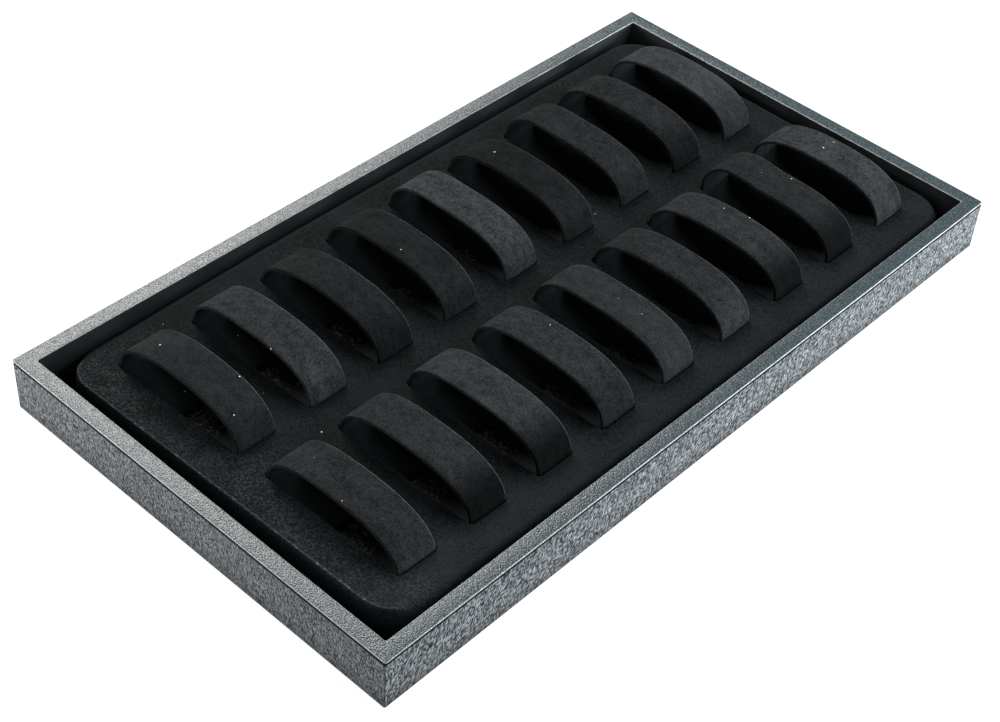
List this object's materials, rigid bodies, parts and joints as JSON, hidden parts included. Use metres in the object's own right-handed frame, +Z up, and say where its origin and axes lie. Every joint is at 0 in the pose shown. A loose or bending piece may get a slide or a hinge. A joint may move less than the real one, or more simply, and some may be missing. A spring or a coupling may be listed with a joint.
{
  "type": "watch display tray",
  "caption": "Shallow rectangular display tray with a flocked liner and two rows of open C-shaped watch collars.",
  "frame": {"origin": "centre of the tray's flat underside", "axes": "+X along the tray's long side, +Y along its short side, +Z up out of the open tray"},
  "size_m": [0.3746, 0.2096, 0.0382],
  "materials": {
    "tray_plastic": "grained satin",
    "liner_flock": "flocked",
    "collar_suede": "suede"
  },
  "bodies": {
    "root": {"tray": "tray_plastic", "liner": "liner_flock", "collar_row1_place1": "collar_suede", "collar_row1_place2": "collar_suede", "collar_row1_place3": "collar_suede", "collar_row1_place4": "collar_suede", "collar_row1_place5": "collar_suede", "collar_row1_place6": "collar_suede", "collar_row1_place7": "collar_suede", "collar_row1_place8": "collar_suede", "collar_row1_place9": "collar_suede", "collar_row2_place1": "collar_suede", "collar_row2_place2": "collar_suede", "collar_row2_place3": "collar_suede", "collar_row2_place4": "collar_suede", "collar_row2_place5": "collar_suede", "collar_row2_place6": "collar_suede", "collar_row2_place7": "collar_suede", "collar_row2_place8": "collar_suede", "collar_row2_place9": "collar_suede"}
  },
  "joints": []
}
